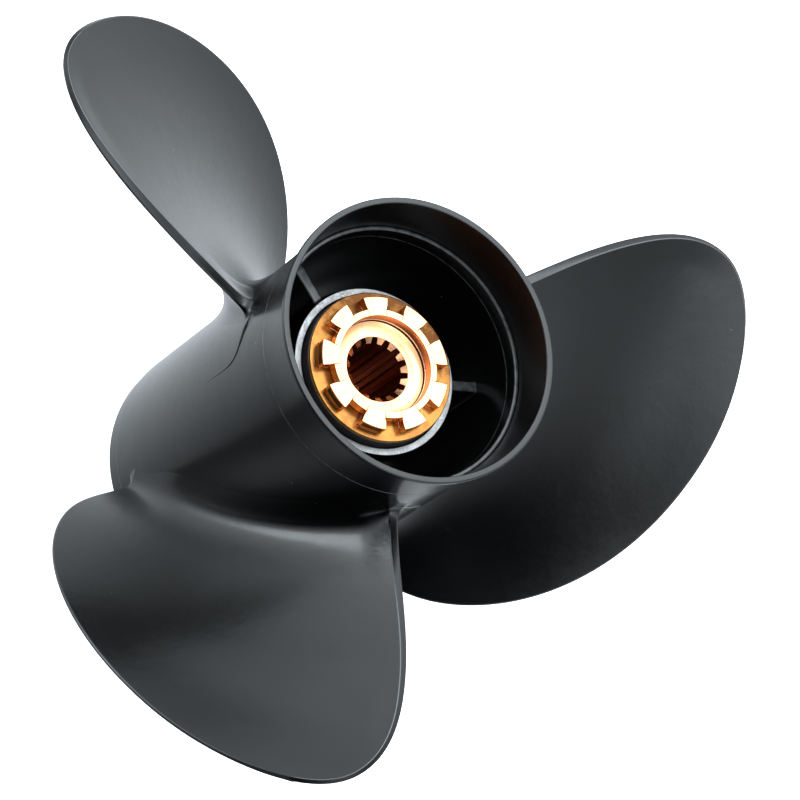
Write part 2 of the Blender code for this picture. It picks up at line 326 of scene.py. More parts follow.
def lofted_mesh(name, rows, caps=(), painted_highlight=None, weld=0.0):
    """A smooth mesh over rows of closed rings, with its faces pointing out.

    Each row that caps numbers is closed by a face. Without caps, the last row joins the first.
    """
    row_count, ring = rows.shape[:2]
    faces = []
    for row in range(row_count - 1 if caps else row_count):
        here = row * ring
        there = (row + 1) % row_count * ring
        for i in range(ring):
            j = (i + 1) % ring
            faces.append((here + i, here + j, there + j, there + i))
    faces += [tuple(range(row * ring, (row + 1) * ring)) for row in caps]
    mesh = bpy.data.meshes.new(name)
    mesh.from_pydata([tuple(point) for point in rows.reshape(-1, 3)], [], faces)
    # A per-point highlight share goes on the mesh as an attribute, and the paint turns those places grey as a
    # painted highlight
    if painted_highlight is not None:
        mesh.attributes.new("painted_highlight", "FLOAT", "POINT").data.foreach_set("value", painted_highlight.ravel())
    shape = bmesh.new()
    shape.from_mesh(mesh)
    if weld:
        bmesh.ops.remove_doubles(shape, verts=shape.verts, dist=weld)
    return finished_mesh(mesh, shape)


def finished_mesh(mesh, shape):
    """Puts a shape in its mesh, smooth and with its faces pointing out."""
    bmesh.ops.recalc_face_normals(shape, faces=shape.faces)
    shape.to_mesh(mesh)
    shape.free()
    mesh.shade_smooth()
    return mesh


def weigh_normals(piece):
    """Lets large faces keep their own direction beside narrow rounded edges."""
    weighing = piece.modifiers.new("Weighted normals", "WEIGHTED_NORMAL")
    weighing.keep_sharp = True


def turned_piece(name, corners, material, replaced):
    """A piece turned round the shaft from corners (radius, height, radius of the round there)."""
    radii, heights = np.array(rounded(corners)).T
    angles = np.linspace(0.0, math.tau, ROUND_STEPS, endpoint=False)
    x = np.outer(np.cos(angles), radii)
    y = np.outer(np.sin(angles), radii)
    mesh = lofted_mesh(name, np.stack([x, y, np.broadcast_to(at(heights), x.shape)], axis=-1))
    mesh.materials.append(material)
    piece = make_piece(name, mesh, replaced)
    weigh_normals(piece)
    return piece


def around_shaft(mesh, paint, name, replaced="", first_angle=0.0):
    """A copy of a mesh for each blade, as a piece of its own. {} in a name stands for its number."""
    pieces = []
    for number in range(BLADES):
        copy = mesh.copy()
        copy.transform(Matrix.Rotation(first_angle + number * math.tau / BLADES, 4, "Z"))
        copy.materials.append(paint)
        place = number + 1
        pieces.append(make_piece(name.format(place), copy, replaced.format(place)))
    return pieces


def barrel_radius(height):
    """Outside of the barrel: straight, then widening a little towards the diffuser."""
    share = np.clip((height - BARREL_SWELL_HEIGHT) / (BARREL_LENGTH - BARREL_SWELL_HEIGHT), 0.0, 1.0)
    return BARREL_RADIUS + (BARREL_AFT_RADIUS - BARREL_RADIUS) * share**BARREL_SWELL_POWER


def hub_barrel(paint):
    swell_heights = np.linspace(BARREL_LENGTH, BARREL_SWELL_HEIGHT, CURVE_STEPS)
    swell = [(barrel_radius(h), h, 0.0) for h in swell_heights[1:]]
    corners = [
        (SPIGOT_RADIUS, LEDGE_HEIGHT, 0.0005),
        (SPIGOT_RADIUS, BARREL_LENGTH, 0.0),
        (BARREL_AFT_RADIUS, BARREL_LENGTH, 0.0004),
        *swell,
        (BARREL_RADIUS, FRONT_BAND_HEIGHT + FRONT_BAND_STEP, 0.0008),
        (FRONT_BAND_RADIUS, FRONT_BAND_HEIGHT, 0.0006),
        (FRONT_BAND_RADIUS, 0.0, 0.0010),
        (BARREL_BORE, 0.0, 0.0010),
        (BARREL_BORE, BORE_FLARE_HEIGHT, 0.0100),
        (LEDGE_RADIUS, LEDGE_HEIGHT, 0.0006),
    ]
    turned_piece("hub_barrel_casting", corners, paint, "hub_barrel")


def flare_radius(height):
    """Outside of the diffuser: a trumpet curve that steepens towards the bead."""
    share = (height - BARREL_LENGTH) / (FLARE_BEAD_HEIGHT - BARREL_LENGTH)
    return FLARE_START_RADIUS + (FLARE_BEAD_RADIUS - FLARE_START_RADIUS) * share**FLARE_POWER


def diffuser_ring(paint):
    flare_heights = np.linspace(FLARE_BEAD_HEIGHT, BARREL_LENGTH + JOINT_GAP, CURVE_STEPS)
    flare = [(flare_radius(h), h, 0.0) for h in flare_heights[1:-1]]
    corners = [
        (RIM_RADIUS, RIM_HEIGHT, 0.0006),
        (RIM_RADIUS - JOINT_GAP, RIM_HEIGHT - RIM_LIP, 0.0010),
        (FLARE_BEAD_RADIUS, FLARE_BEAD_HEIGHT, 0.0010),
        *flare,
        (FLARE_START_RADIUS, BARREL_LENGTH + JOINT_GAP, 0.0004),
        (SPIGOT_RADIUS + JOINT_GAP, BARREL_LENGTH + JOINT_GAP, 0.0),
        (SPIGOT_RADIUS + JOINT_GAP, LEDGE_HEIGHT, 0.0003),
        (RIM_INNER_RADIUS, RIM_HEIGHT, 0.0006),
    ]
    turned_piece("diffuser_flare", corners, paint, "diffuser_ring")


def inner_hub(paint, machined):
    """The inner tube: painted outside, its aft face cut bright by the lathe."""
    corners = [
        (HUB_FACE_RADIUS, HUB_AFT, 0.0003),
        (HUB_RADIUS, HUB_AFT - HUB_CHAMFER_HEIGHT, 0.0020),
        (HUB_RADIUS, HUB_FRONT, 0.0010),
        (HUB_BORE, HUB_FRONT, 0.0008),
        (HUB_BORE, HUB_AFT, 0.0003),
    ]
    piece = turned_piece("inner_hub_tube", corners, paint, "inner_hub")
    piece.data.materials.append(machined)
    face_level = at(HUB_AFT) - HUB_FACE_DEPTH
    for polygon in piece.data.polygons:
        if polygon.center.z > face_level:
            polygon.material_index = 1


def rib_outline():
    """A rib's cross-section over its thickness: from one flat side over the rounded aft edge to the other."""
    half = RIB_THICKNESS / 2
    depth = RIB_AFT - RIB_FRONT
    sides = [(half, -depth)]
    for step in range(RIB_ROUND_STEPS + 1):
        turn = math.pi / 2 * step / RIB_ROUND_STEPS
        sides.append((half - RIB_ROUND * (1 - math.cos(turn)), -RIB_ROUND * (1 - math.sin(turn))))
    sides.append((0.0, 0.0))
    mirrored = [(-x, z) for x, z in reversed(sides[:-1])]
    return sides + mirrored


def ribs(paint):
    """Webs that widen into the inner tube and the barrel."""
    inner = HUB_RADIUS - WALL_OVERLAP
    outer = BARREL_BORE + WALL_OVERLAP
    stations = inner + (outer - inner) * (1 - np.cos(np.linspace(0, math.pi, RIB_STATIONS))) / 2
    points = []
    for radius in stations:
        spread = rib_flare(radius - inner) + rib_flare(outer - radius)
        for y, z in rib_outline():
            side = 0.0 if abs(y) < 1e-9 else math.copysign(1.0, y)
            points.append((radius, y + side * spread * min(1.0, -z / RIB_THICKNESS * 2), at(RIB_AFT) + z))
    rows = np.array(points).reshape(len(stations), -1, 3)
    mesh = lofted_mesh("web", rows, (0, len(rows) - 1))
    for piece in around_shaft(mesh, paint, "web_{}", "rib_{}", RIB_ANGLE):
        weigh_normals(piece)


def rib_flare(distance):
    """Extra half thickness of a rib near the wall it runs into."""
    rise = min(distance, RIB_FILLET)
    return RIB_FILLET - math.sqrt(RIB_FILLET**2 - (RIB_FILLET - rise) ** 2)


def rubber_bushing(rubber):
    corners = [
        (RUBBER_RADIUS, RUBBER_AFT, 0.0006),
        (RUBBER_RADIUS, RUBBER_FRONT, 0.0006),
        (RECESS_RADIUS, RUBBER_FRONT, 0.0002),
        (RECESS_RADIUS, RUBBER_AFT, 0.0002),
    ]
    turned_piece("rubber_hub_bushing", corners, rubber, "rubber_bushing")


def flange_washer(brass, recess_brass):
    corners = [
        (WASHER_RADIUS, WASHER_AFT, 0.0004),
        (WASHER_RADIUS, RUBBER_AFT + JOINT_GAP, 0.0002),
        (RECESS_RADIUS, RUBBER_AFT + JOINT_GAP, 0.0),
        (RECESS_RADIUS, WASHER_AFT, 0.0),
    ]
    piece = turned_piece("brass_flange_washer", corners, brass, "flange_washer")
    piece.data.materials.append(recess_brass)
    for polygon in piece.data.polygons:
        if polygon.center.xy.length < RECESS_RADIUS + JOINT_GAP:
            polygon.material_index = 1


def arc(radius, start, end, steps):
    """Points on an arc round the shaft, both ends included."""
    angles = np.linspace(start, end, steps + 1)
    return [(radius * math.cos(a), radius * math.sin(a)) for a in angles]


def castellated_outline():
    """Outer edge of the lug ring: lugs with parallel-sided slots between them."""
    pitch = math.tau / LUGS
    root_half = math.asin(LUG_SLOT_WIDTH / 2 / LUG_ROOT_RADIUS)
    tip_half = math.asin(LUG_SLOT_WIDTH / 2 / LUG_RADIUS)
    outline = []
    for lug in range(LUGS):
        slot = SLOT_PHASE + lug * pitch
        outline += arc(LUG_ROOT_RADIUS, slot - root_half, slot + root_half, SLOT_STEPS)
        outline += arc(LUG_RADIUS, slot + tip_half, slot + pitch - tip_half, LUG_STEPS)
    return outline


def castellated_ring(brass, lug_shade):
    """Ring with lugs standing out of it, with a small round on every edge."""
    outline = castellated_outline()
    count = len(outline)
    bottom = at(WASHER_AFT + JOINT_GAP)
    top = at(LUG_TOP)
    levels = (bottom, bottom + LUG_BORDER, top - LUG_BORDER, top)
    shape = bmesh.new()
    outer = [[shape.verts.new((x, y, z)) for x, y in outline] for z in levels]
    inner_angles = [math.atan2(y, x) for x, y in outline]
    inner = [
        [shape.verts.new((RECESS_RADIUS * math.cos(a), RECESS_RADIUS * math.sin(a), z)) for a in inner_angles]
        for z in (bottom, top)
    ]
    for i in range(count):
        j = (i + 1) % count
        for low in range(len(levels) - 1):
            wall = shape.faces.new((outer[low][i], outer[low][j], outer[low + 1][j], outer[low + 1][i]))
            # The middle band of each lug's outer face gets the dark material, as painted shade
            wall.material_index = int(low == 1 and i % LUG_PITCH_STEPS in SHADED_STEPS)
        shape.faces.new((inner[0][j], inner[0][i], inner[1][i], inner[1][j]))
        shape.faces.new((outer[-1][i], outer[-1][j], inner[1][j], inner[1][i]))
        shape.faces.new((outer[0][j], outer[0][i], inner[0][i], inner[0][j]))
    mesh = finished_mesh(bpy.data.meshes.new("castellated_ring"), shape)
    mesh.set_sharp_from_angle(angle=SHARP_ANGLE)
    mesh.materials.append(brass)
    mesh.materials.append(lug_shade)
    piece = make_piece("brass_lug_ring", mesh, "castellated_ring")
    rounding = piece.modifiers.new("Rounded edges", "BEVEL")
    rounding.width = LUG_ROUND
    rounding.segments = 3
    rounding.limit_method = "ANGLE"
    rounding.angle_limit = SHARP_ANGLE
    weigh_normals(piece)


def spline_radius(angle):
    """Radius of the splined bore: tooth spaces at the major radius, teeth at the minor radius."""
    pitch = math.tau / SPLINE_TEETH
    place = np.abs((angle - SPLINE_PHASE + pitch / 2) % pitch - pitch / 2) / pitch
    share = smoothstep((place - SPLINE_SPACE) / (SPLINE_TOOTH - SPLINE_SPACE))
    return SPLINE_MAJOR + (SPLINE_MINOR - SPLINE_MAJOR) * share


def sleeve_face(radius):
    """Height of the sleeve's aft face: flat round the bore, curving up to its outer edge."""
    share = max(radius - SLEEVE_DISH_RADIUS, 0.0) / (SLEEVE_RADIUS - SLEEVE_DISH_RADIUS)
    return SLEEVE_AFT - SLEEVE_DISH * (1 - share**2)


def splined_sleeve(brass, bore_finish):
    """Brass sleeve: a splined bore with a conical lead-in, a dished aft face, turned outside."""
    angles = np.linspace(0.0, math.tau, SPLINE_TEETH * TOOTH_STEPS, endpoint=False)
    bore = spline_radius(angles)
    face = sleeve_face(LEAD_IN_RADIUS)
    rings = []
    for depth in np.linspace(0.0, SPLINE_LEAD_IN, LEAD_IN_STEPS):
        cone = LEAD_IN_RADIUS - (LEAD_IN_RADIUS - SPLINE_MINOR + 0.0001) * depth / SPLINE_LEAD_IN
        rings.append((np.maximum(bore, cone), face - depth))
    for height in (face - 0.006, face - 0.02, SLEEVE_FRONT):
        rings.append((bore, height))
    edge_radius = SLEEVE_RADIUS - SLEEVE_EDGE
    rings.append((edge_radius, SLEEVE_FRONT))
    rings.append((SLEEVE_RADIUS, SLEEVE_FRONT + SLEEVE_EDGE))
    rings.append((SLEEVE_RADIUS, SLEEVE_AFT - SLEEVE_EDGE))
    for radius in np.linspace(edge_radius, LEAD_IN_RADIUS + 0.0001, SLEEVE_DISH_STEPS):
        rings.append((radius, sleeve_face(radius)))
    rows = np.array([(r * np.cos(angles), r * np.sin(angles), np.full_like(angles, at(h))) for r, h in rings])
    mesh = lofted_mesh("splined_sleeve", rows.transpose(0, 2, 1))
    mesh.set_sharp_from_angle(angle=BORE_SHARP_ANGLE)
    mesh.materials.append(brass)
    mesh.materials.append(bore_finish)
    for polygon in mesh.polygons:
        if polygon.center.xy.length < LEAD_IN_RADIUS and polygon.normal.z < BORE_FACING:
            polygon.material_index = 1
    weigh_normals(make_piece("brass_spline_sleeve", mesh, "splined_sleeve"))


def polynomial(line):
    """The polynomial through the points of a line."""
    radii, values = zip(*line)
    return np.polyfit(radii, values, len(line) - 1)


PITCH = polynomial(PITCH_LINE)
SWELL = polynomial(SWELL_LINE)


def climb_at(radius):
    """Rise of the helix per radian at this radius."""
    return np.polyval(PITCH, radius) / math.tau


def helix(radius, angle):
    """The blade's reference surface: raked, and climbing with the angle."""
    height = RAKE_FOOT_HEIGHT + (radius - BARREL_RADIUS) * math.tan(RAKE) + climb_at(radius) * angle
    return np.stack([radius * np.cos(angle), radius * np.sin(angle), at(height)], axis=-1)


def unit(vectors):
    return vectors / np.linalg.norm(vectors, axis=-1, keepdims=True)


def helix_axes(radius, angle):
    """Unit vectors on the reference surface: along the chord, outward, and aft at right angles to both."""
    climb = climb_at(radius)
    chord = unit(np.stack([-radius * np.sin(angle), radius * np.cos(angle), climb], axis=-1))
    step = 1e-5
    outward = unit(helix(radius + step, angle) - helix(radius - step, angle))
    aft = unit(np.cross(outward, chord))
    return chord, outward, aft


def smoothstep(value):
    value = np.clip(value, 0.0, 1.0)
    return value * value * (3 - 2 * value)


def spline_through(points, count):
    """A natural cubic spline through flat points, spaced by their distances."""
    points = np.array(points)
    gaps = np.hypot(*np.diff(points, axis=0).T)
    knots = np.concatenate([[0.0], np.cumsum(gaps)])
    size = len(points)
    system = np.eye(size)
    pull = np.zeros((size, 2))
    for i in range(1, size - 1):
        system[i, i - 1 : i + 2] = gaps[i - 1], 2 * (gaps[i - 1] + gaps[i]), gaps[i]
        pull[i] = 6 * ((points[i + 1] - points[i]) / gaps[i] - (points[i] - points[i - 1]) / gaps[i - 1])
    bend = np.linalg.solve(system, pull)
    curve = []
    for t in np.linspace(0.0, knots[-1], count):
        i = min(int(np.searchsorted(knots, t, side="right")) - 1, size - 2)
        after = (t - knots[i]) / gaps[i]
        before = 1.0 - after
        sag = ((before**3 - before) * bend[i] + (after**3 - after) * bend[i + 1]) * gaps[i] ** 2 / 6
        curve.append(before * points[i] + after * points[i + 1] + sag)
    return np.array(curve)


class BladeEdge:
    """The blade's outline: its leading and trailing edges, each as dense points of radius and angle."""

    def __init__(self):
        corners = [(r * math.cos(math.radians(a)), r * math.sin(math.radians(a))) for r, a in BLADE_OUTLINE]
        curve = spline_through(corners, EDGE_SAMPLES)
        radius = np.hypot(curve[:, 0], curve[:, 1])
        angle = np.arctan2(curve[:, 1], curve[:, 0])
        tip = int(radius.argmax())
        self.tip_radius = radius[tip]
        self.sides = {
            "leading": (radius[: tip + 1], angle[: tip + 1]),
            "trailing": (radius[tip:][::-1], angle[tip:][::-1]),
        }

    def angle_at(self, side, radius):
        """Angle of an edge at a radius. Below the outline's foot the edge runs on at its last slope."""
        radii, angles = self.sides[side]
        slope = (angles[SLOPE_SAMPLES] - angles[0]) / (radii[SLOPE_SAMPLES] - radii[0])
        return np.interp(radius, radii, angles) + np.minimum(radius - radii[0], 0.0) * slope

    def distance(self, side, points):
        """Distance of points on the reference surface to an edge."""
        radii, angles = self.sides[side]
        low = np.linspace(BARREL_RADIUS - 0.004, radii[0], 12)[:-1]
        radius = np.concatenate([low, radii[::EDGE_STRIDE], radii[-1:]])
        angle = np.concatenate([self.angle_at(side, low), angles[::EDGE_STRIDE], angles[-1:]])
        line = helix(radius, angle)
        flat = points.reshape(-1, 3)
        best = np.full(len(flat), np.inf)
        for start, end in zip(line, line[1:]):
            run = end - start
            share = np.clip((flat - start) @ run / max(run @ run, 1e-16), 0.0, 1.0)
            best = np.minimum(best, np.linalg.norm(flat - start - share[:, None] * run, axis=1))
        return best.reshape(points.shape[:-1])


def nose_profile(count):
    """A round edge: (inset, aft offset, outward normal) from the aft face to the forward face."""
    turn = np.linspace(math.pi / 2, -math.pi / 2, count)
    normal = np.stack([-np.cos(turn), np.sin(turn)], axis=-1)
    place = np.stack([NOSE_RADIUS * (1 - np.cos(turn)), NOSE_RADIUS * np.sin(turn)], axis=-1)
    return place, normal


def tail_profile(count):
    """A bevelled edge with two small rounds, in the same form as the nose."""
    facet = math.atan2(TAIL_BEVEL, TAIL_THICKNESS)
    first = np.linspace(math.pi / 2, facet, count // 2)
    second = np.linspace(facet, -math.pi / 2, count - count // 2)
    places = []
    normals = []
    for turns, corner in ((first, (TAIL_BEVEL, TAIL_THICKNESS)), (second, (0.0, 0.0))):
        for turn in turns:
            normal = np.array((-math.cos(turn), math.sin(turn)))
            places.append(np.array(corner) + TAIL_ROUND * normal)
            normals.append(normal)
    return np.array(places) + np.array((TAIL_ROUND, -TAIL_ROUND)), np.array(normals)


def fillet_reach(rise, radius):
    """How far a face swells sideways near the barrel: like a quarter circle, but easing out at both ends."""
    ease = FILLET_EASE * radius
    return -ease * np.log(1 - np.exp(-np.maximum(rise, 0.0) / ease - FILLET_FOOT))


def edge_fillet(side, facing_aft):
    """Fillet size round an edge: the faces' own sizes on both sides of the nose, a small one at its front."""
    if side == "trailing":
        return np.full_like(facing_aft, TAIL_FILLET)
    return NOSE_FILLET + (LEAD_FILLET - NOSE_FILLET) * facing_aft**2


def blade_rows(edge):
    """Radii of the rows of points, from inside the barrel to the tip."""
    low = BARREL_RADIUS + np.array(ROOT_ROWS)
    tips = edge.tip_radius - TIP_STEP * np.arange(TIP_ROWS, -1, -1) ** 2
    middle = np.linspace(low[-1], tips[0], MIDDLE_ROWS + 2)[1:-1]
    return np.concatenate([low, middle, tips])


def blade_points():
    """Rows of closed sections round the blade. The last row is the tip, folded flat on itself."""
    edge = BladeEdge()
    radii = blade_rows(edge)
    spine_radius = radii.copy()
    fanned = int(np.searchsorted(radii, FAN_START))
    spine_radius[fanned:] = np.linspace(FAN_START, FAN_END, len(radii) - fanned)
    spine_angle = (edge.angle_at("leading", radii) + edge.angle_at("trailing", radii)) / 2
    spine = np.stack([spine_radius, spine_angle], axis=-1)
    lead_edge, lead_aft, lead_forward = half_rows(edge, "leading", 1.0, radii, spine)
    tail_edge, tail_aft, tail_forward = half_rows(edge, "trailing", -1.0, radii, spine)
    round_the_blade = [
        lead_aft,
        tail_aft[:, ::-1][:, 1:],
        tail_edge,
        tail_forward,
        lead_forward[:, ::-1][:, 1:],
        lead_edge[:, ::-1],
    ]
    return np.concatenate(round_the_blade, axis=1)


def half_rows(edge, side, inward, radii, spine):
    """One side of the blade: its edge, and its aft and forward faces from the edge in to the spine."""
    angles = edge.angle_at(side, radii)
    chord, outward, aft = helix_axes(radii, angles)
    step = 2e-6
    ahead = helix(radii + step, edge.angle_at(side, radii + step))
    behind = helix(radii - step, edge.angle_at(side, radii - step))
    along = unit(ahead - behind)
    along[-1] = chord[-1] * inward
    across = unit(np.cross(aft, along))
    across *= np.sign((across * chord).sum(-1) * inward)[:, None]
    across[-1] = -outward[-1]
    free = smoothstep((radii - FREE_FROM) / (FREE_AT - FREE_FROM))[:, None]
    inset_way = unit(chord * inward * (1 - free) + across * free)
    lift_way = lift_axes(angles, chord, aft, free)
    weight = smoothstep((np.degrees(angles) - TAIL_ENDS_AT) / TAIL_FADE)[:, None, None]
    nose, nose_normal = nose_profile(EDGE_POINTS)
    tail, tail_normal = tail_profile(EDGE_POINTS)
    thinner = np.interp(radii, *zip(*TAIL_THINS))[:, None, None]
    profile = nose * (1 - weight) + tail * thinner * weight
    normal = unit(nose_normal * (1 - weight) + tail_normal * weight)
    swell = fillet_reach(radii[:, None] - BARREL_RADIUS, edge_fillet(side, normal[..., 1]))
    inset, lift = np.moveaxis(profile + normal * swell[..., None], -1, 0)
    edge_points = helix(radii, angles)[:, None] + inset[..., None] * inset_way[:, None]
    edge_points += lift[..., None] * lift_way[:, None]
    hold_radius(edge_points, radii[:, None], free)
    start = np.stack([radii, angles], axis=-1)
    return edge_points, *face_rows(edge, start, spine, inset_way, profile, free)


def straight_out(angles):
    return np.stack([np.cos(angles), np.sin(angles), np.zeros_like(angles)], axis=-1)


def lift_axes(angles, chord, aft, free):
    """The way off the reference surface: in the barrel's skin at the root, square to the surface above it."""
    along_barrel = unit(np.cross(straight_out(angles), chord))
    return unit(along_barrel * (1 - free) + aft * free)


def face_rows(edge, start, spine, inset_way, profile, free):
    """The aft and forward faces of one side: curves from the edge to the spine, closest at the edge."""
    radii, angles = start.T
    tangent = np.stack([-np.sin(angles), np.cos(angles), np.zeros_like(angles)], axis=-1)
    radial = (inset_way * straight_out(angles)).sum(-1)
    way = np.stack([radial, (inset_way * tangent).sum(-1) / radii], axis=-1)
    t = np.linspace(0.0, 1.0, FACE_POINTS)[None, :, None] ** FACE_CROWDING
    faces = []
    for face, inset in enumerate((profile[:, :1, 0], profile[:, -1:, 0])):
        begin = start + way * inset
        gap = np.abs(spine - begin)
        reach = gap[:, 1:] * radii[:, None] + gap[:, :1]
        control = begin + way * (FACE_START * reach)
        route = (1 - t) ** 2 * begin[:, None] + 2 * t * (1 - t) * control[:, None] + t**2 * spine[:, None]
        faces.append(face_points(edge, route[..., 0], route[..., 1], face, free))
    return faces


def face_points(edge, radius, angle, face, free):
    """Lifts points of the reference surface to the aft face (0) or the forward face (1)."""
    base = helix(radius, angle)
    chord, _, aft = helix_axes(radius, angle)
    lift_way = lift_axes(angle, chord, aft, free[..., None])
    to_nose = edge.distance("leading", base)
    to_tail = edge.distance("trailing", base)
    share = to_nose / (to_nose + to_tail + 1e-9)
    cup = CUP_DEPTH * smoothstep(to_tail / CUP_WIDTH) * smoothstep(to_nose / CUP_EASE)
    cup *= smoothstep((radius - CUP_START) / CUP_GROWTH)
    rise = radius - BARREL_RADIUS
    full_fillet = FORWARD_FILLET if face else ROOT_FILLET
    from_nose = LEAD_FILLET + (full_fillet - LEAD_FILLET) * smoothstep(to_nose / FILLET_BLEND)
    tail_blend = FILLET_BLEND if face else TAIL_BLEND
    from_tail = TAIL_FILLET + (full_fillet - TAIL_FILLET) * smoothstep(to_tail / tail_blend)
    fillet = np.minimum(from_nose, from_tail)
    swell = fillet_reach(rise, fillet)
    if face == 0:
        tail = TAIL_THICKNESS * np.interp(radius, *zip(*TAIL_THINS))
        lift = NOSE_RADIUS * (1 - share) + tail * share - cup + swell
    else:
        thickness = NOSE_RADIUS * (1 - share) + np.polyval(SWELL, radius) * np.sin(math.pi * share)
        lift = -thickness - cup - swell
    points = base + lift[..., None] * lift_way
    hold_radius(points, radius, free)
    return points


def hold_radius(points, radius, free):
    """Keeps points near the barrel at their own radius, so that a wide fillet wraps round it."""
    flat = np.hypot(points[..., 0], points[..., 1])
    stretch = (radius * (1 - free) + flat * free) / flat
    points[..., 0] *= stretch
    points[..., 1] *= stretch


def painted_edge_highlights(rows):
    """How strong a painted highlight lies along each edge: most at the trailing edge's aft corner, not at all
    at the root.
    """
    tail = 2 * FACE_POINTS - 1
    nose = tail + EDGE_POINTS + 2 * FACE_POINTS - 1
    painted_highlight = np.zeros(rows.shape[1])
    painted_highlight[tail + 1 : tail + EDGE_POINTS // 2 - 2] = 1.0
    painted_highlight[tail + EDGE_POINTS // 2 + 2 : tail + EDGE_POINTS] = 0.5
    painted_highlight[nose : nose + EDGE_POINTS] = 0.3
    radius = np.hypot(rows[..., 0], rows[..., 1])
    return painted_highlight * smoothstep((radius - EDGE_HIGHLIGHT_FROM) / EDGE_HIGHLIGHT_FADE)


def seat_on_barrel(rows):
    """Moves the lowest rows out with the barrel where it widens."""
    radius = np.hypot(rows[..., 0], rows[..., 1])
    height = rows[..., 2] - FLOOR_Z
    wider = (barrel_radius(height) - BARREL_RADIUS) * (1 - smoothstep((radius - BARREL_RADIUS) / SEAT_FADE))
    stretch = (radius + wider) / radius
    rows[..., 0] *= stretch
    rows[..., 1] *= stretch
    return rows


def blades(paint):
    rows = seat_on_barrel(blade_points())
    mesh = lofted_mesh("blade", rows, (0,), painted_edge_highlights(rows), WELD)
    mesh.set_sharp_from_angle(angle=SHARP_ANGLE)
    around_shaft(mesh, paint, "blade_{}_casting", "blade_{}")


def ridges(paint):
    """Low flat-topped ridges on the barrel, tapering along their path, closed by a row inside the wall."""
    points = [(BARREL_RADIUS * math.radians(angle), height) for angle, height in RIDGE_PATH]
    path = spline_through(points, RIDGE_POINTS)
    along = unit(np.gradient(path, axis=0))
    across = np.stack([-along[:, 1], along[:, 0]], axis=-1)
    place = np.linspace(0.0, 1.0, RIDGE_POINTS)
    shares, widths, rises = zip(*RIDGE_SIZES)
    width = np.interp(place, shares, widths)
    rise = np.interp(place, shares, rises)
    spread = np.linspace(-RIDGE_SPREAD, RIDGE_SPREAD, RIDGE_SPREAD_POINTS)
    swell = smoothstep((1.3 - np.abs(spread)) / RIDGE_SLOPE)
    flat = path[:, None] + across[:, None] * (width[:, None] * spread)[..., None]
    radius = barrel_radius(flat[..., 1]) + rise[:, None] * swell - RIDGE_SINK
    flat = np.concatenate([flat, flat[:, ::-1]], axis=1)
    radius = np.concatenate([radius, np.full_like(radius, RIDGE_ROOT_RADIUS)], axis=1)
    angle = flat[..., 0] / BARREL_RADIUS
    rows = np.stack([radius * np.cos(angle), radius * np.sin(angle), at(flat[..., 1])], axis=-1)
    # Painted glints: the ridge's shoulders over its upper part get a highlight share, so they are painted
    # grey
    shoulders = smoothstep(1 - np.abs(np.abs(spread) - 0.9) / 0.3)
    glint_share = smoothstep(place / 0.05) * smoothstep((0.5 - place) / 0.15)
    painted_highlight = np.zeros(rows.shape[:2])
    painted_highlight[:, :RIDGE_SPREAD_POINTS] = glint_share[:, None] * shoulders
    mesh = lofted_mesh("parting_ridge", rows, (0, RIDGE_POINTS - 1), painted_highlight)
    mesh.set_sharp_from_angle(angle=SHARP_ANGLE)
    around_shaft(mesh, paint, "parting_ridge_{}")


class Nodes:
    """Short calls that add nodes to a tree, all starting from one place or direction."""

    def __init__(self, tree, start):
        self.tree = tree
        self.place = self.add("ShaderNodeTexCoord", {}, start)

    def add(self, kind, inputs, output, **settings):
        """Adds a node, feeds its inputs and gives one of its outputs."""
        node = self.tree.nodes.new(kind)
        for key, value in settings.items():
            setattr(node, key, value)
        for socket, value in inputs.items():
            self.feed(node.inputs[socket], value)
        return node.outputs[output]

    def feed(self, socket, value):
        """Links a node's output, or sets a plain value."""
        if isinstance(value, bpy.types.NodeSocket):
            self.tree.links.new(value, socket)
        else:
            socket.default_value = value

    def calculate(self, operation, first, second=0.0):
        return self.add("ShaderNodeMath", {0: first, 1: second}, 0, operation=operation)

    def dot(self, vector):
        """The place's share along a vector."""
        return self.add("ShaderNodeVectorMath", {0: self.place, 1: vector}, "Value", operation="DOT_PRODUCT")


